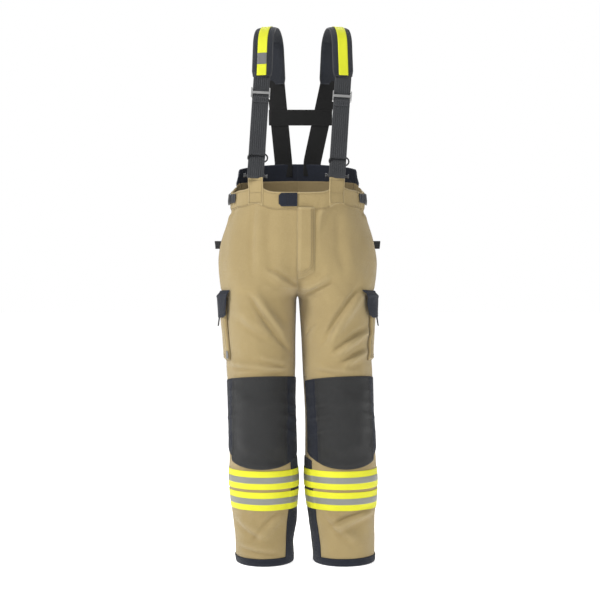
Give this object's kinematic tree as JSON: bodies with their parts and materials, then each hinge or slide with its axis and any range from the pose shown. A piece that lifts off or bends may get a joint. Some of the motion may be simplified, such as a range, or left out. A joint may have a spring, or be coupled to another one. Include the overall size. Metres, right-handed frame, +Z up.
{
  "type": "fire fighter's bunker trousers",
  "caption": "Fire fighter's bunker trousers with padded braces, thigh pockets, knee patches, reflective tape round the shins and a fly with a waist tab.",
  "frame": {"origin": "on the plane of the leg hems, midway between the side seams and between front and back", "axes": "+Z up along the wearer, -Y to the wearer's front, +X to the wearer's left"},
  "size_m": [0.4632, 0.303, 1.4913],
  "materials": {
    "tan_shell": "plain ripstop weave, matt",
    "tan_pocket": "plain ripstop weave, matt",
    "thermal_lining": "quilted felt",
    "facing": "plain weave",
    "navy_shell": "plain weave, matt",
    "coated_patch": "polymer coated, matt",
    "foam": "closed cell foam",
    "reflective_tape": "fluorescent with a silver stripe",
    "pad_cover": "knitted cover over foam",
    "lime_tape": "fluorescent tape",
    "grey_webbing": "ribbed webbing",
    "black_elastic": "ribbed elastic",
    "black_webbing": "ribbed webbing",
    "steel": "bright",
    "black_steel": "black lacquer",
    "zip_tape": "woven tape with moulded teeth"
  },
  "bodies": {
    "trousers": {"brace_tabs": "tan_shell", "cross_strap": "black_elastic", "fly_backing": "tan_shell", "hip_loops": "black_webbing", "left_back_strap": "black_elastic", "left_brace_toggle": "black_steel", "left_end_strap": "grey_webbing", "left_front_strap": "grey_webbing", "left_seat_back": "tan_shell", "left_seat_front": "tan_shell", "left_seat_lining": "thermal_lining", "left_shoulder_pad": "pad_cover", "pad_stripes": "lime_tape", "raised_back_band": "navy_shell", "right_back_strap": "black_elastic", "right_brace_toggle": "black_steel", "right_end_strap": "grey_webbing", "right_front_strap": "grey_webbing", "right_seat_back": "tan_shell", "right_seat_front": "tan_shell", "right_seat_lining": "thermal_lining", "right_shoulder_pad": "pad_cover", "waist_adjusters": "black_webbing", "waist_facing": "facing", "zip": "zip_tape"},
    "right_upper_leg": {"right_thigh": "tan_shell", "right_thigh_lining": "thermal_lining", "right_hip_fold": "tan_shell", "right_pocket": "tan_pocket"},
    "right_lower_leg": {"right_shin": "tan_shell", "right_shin_lining": "thermal_lining", "right_hem_binding": "navy_shell", "right_leg_guard": "navy_shell", "right_reflective_tapes": "reflective_tape", "right_knee_pad": "foam", "right_knee_patch": "coated_patch", "right_knee_fold": "tan_shell"},
    "left_upper_leg": {"left_thigh": "tan_shell", "left_thigh_lining": "thermal_lining", "left_hip_fold": "tan_shell", "left_pocket": "tan_pocket"},
    "left_lower_leg": {"left_shin": "tan_shell", "left_shin_lining": "thermal_lining", "left_hem_binding": "navy_shell", "left_leg_guard": "navy_shell", "left_reflective_tapes": "reflective_tape", "left_knee_pad": "foam", "left_knee_patch": "coated_patch", "left_knee_fold": "tan_shell"},
    "right_pocket_flap_body": {"right_pocket_flap": "navy_shell"},
    "left_pocket_flap_body": {"left_pocket_flap": "navy_shell"},
    "fly_cover_body": {"fly_cover": "tan_shell"},
    "zip_slider_body": {"zip_slider": "steel"},
    "waist_tab_body": {"waist_tab": "navy_shell"},
    "right_strap_slider_body": {"right_strap_slider": "steel"},
    "left_strap_slider_body": {"left_strap_slider": "steel"},
    "right_brace_link_body": {"right_brace_link": "black_steel"},
    "left_brace_link_body": {"left_brace_link": "black_steel"}
  },
  "joints": [
    {"name": "right_hip", "type": "hinge", "parent": "trousers", "child": "right_upper_leg", "pos_m": [-0.105, 0, 0.88], "axis": [1, 0, 0], "range_deg": [-60, 15], "deforming": ["right_hip_fold"]},
    {"name": "right_knee", "type": "hinge", "parent": "right_upper_leg", "child": "right_lower_leg", "pos_m": [-0.0988, 0.02, 0.42], "axis": [1, 0, 0], "range_deg": [0, 90], "deforming": ["right_knee_fold", "right_knee_pad", "right_knee_patch"]},
    {"name": "right_flap_lift", "type": "hinge", "parent": "right_upper_leg", "child": "right_pocket_flap_body", "pos_m": [-0.2148, 0.0048, 0.755], "axis": [0, 1, 0], "range_deg": [0, 140]},
    {"name": "left_hip", "type": "hinge", "parent": "trousers", "child": "left_upper_leg", "pos_m": [0.105, 0, 0.88], "axis": [1, 0, 0], "range_deg": [-60, 15], "deforming": ["left_hip_fold"]},
    {"name": "left_knee", "type": "hinge", "parent": "left_upper_leg", "child": "left_lower_leg", "pos_m": [0.1157, 0.02, 0.42], "axis": [1, 0, 0], "range_deg": [0, 90], "deforming": ["left_knee_fold", "left_knee_pad", "left_knee_patch"]},
    {"name": "left_flap_lift", "type": "hinge", "parent": "left_upper_leg", "child": "left_pocket_flap_body", "pos_m": [0.2148, 0.0048, 0.755], "axis": [0, -1, 0], "range_deg": [0, 140]},
    {"name": "fly_open", "type": "hinge", "parent": "trousers", "child": "fly_cover_body", "pos_m": [0.046, -0.1493, 0.88], "axis": [0, 0, 1], "range_deg": [0, 150]},
    {"name": "waist_tab_open", "type": "hinge", "parent": "trousers", "child": "waist_tab_body", "pos_m": [-0.0004, -0.1388, 0.997], "axis": [0, 0, 1], "range_deg": [0, 150]},
    {"name": "zip_slide", "type": "slide", "parent": "trousers", "child": "zip_slider_body", "axis": [0, 0.042, 0.9991], "range_m": [-0.112, 0]},
    {"name": "right_slider_slide", "type": "slide", "parent": "trousers", "child": "right_strap_slider_body", "axis": [0.0543, 0.1463, 0.9878], "range_m": [-0.12, 0.02]},
    {"name": "left_slider_slide", "type": "slide", "parent": "trousers", "child": "left_strap_slider_body", "axis": [0.0681, 0.1579, 0.9851], "range_m": [-0.12, 0.02]},
    {"name": "right_link_shift", "type": "slide", "parent": "trousers", "child": "right_brace_link_body", "axis": [0.9985, -0.008, -0.0537], "range_m": [-0.006, 0]},
    {"name": "left_link_shift", "type": "slide", "parent": "trousers", "child": "left_brace_link_body", "axis": [0.9977, -0.0108, -0.0673], "range_m": [-0.006, 0]}
  ]
}
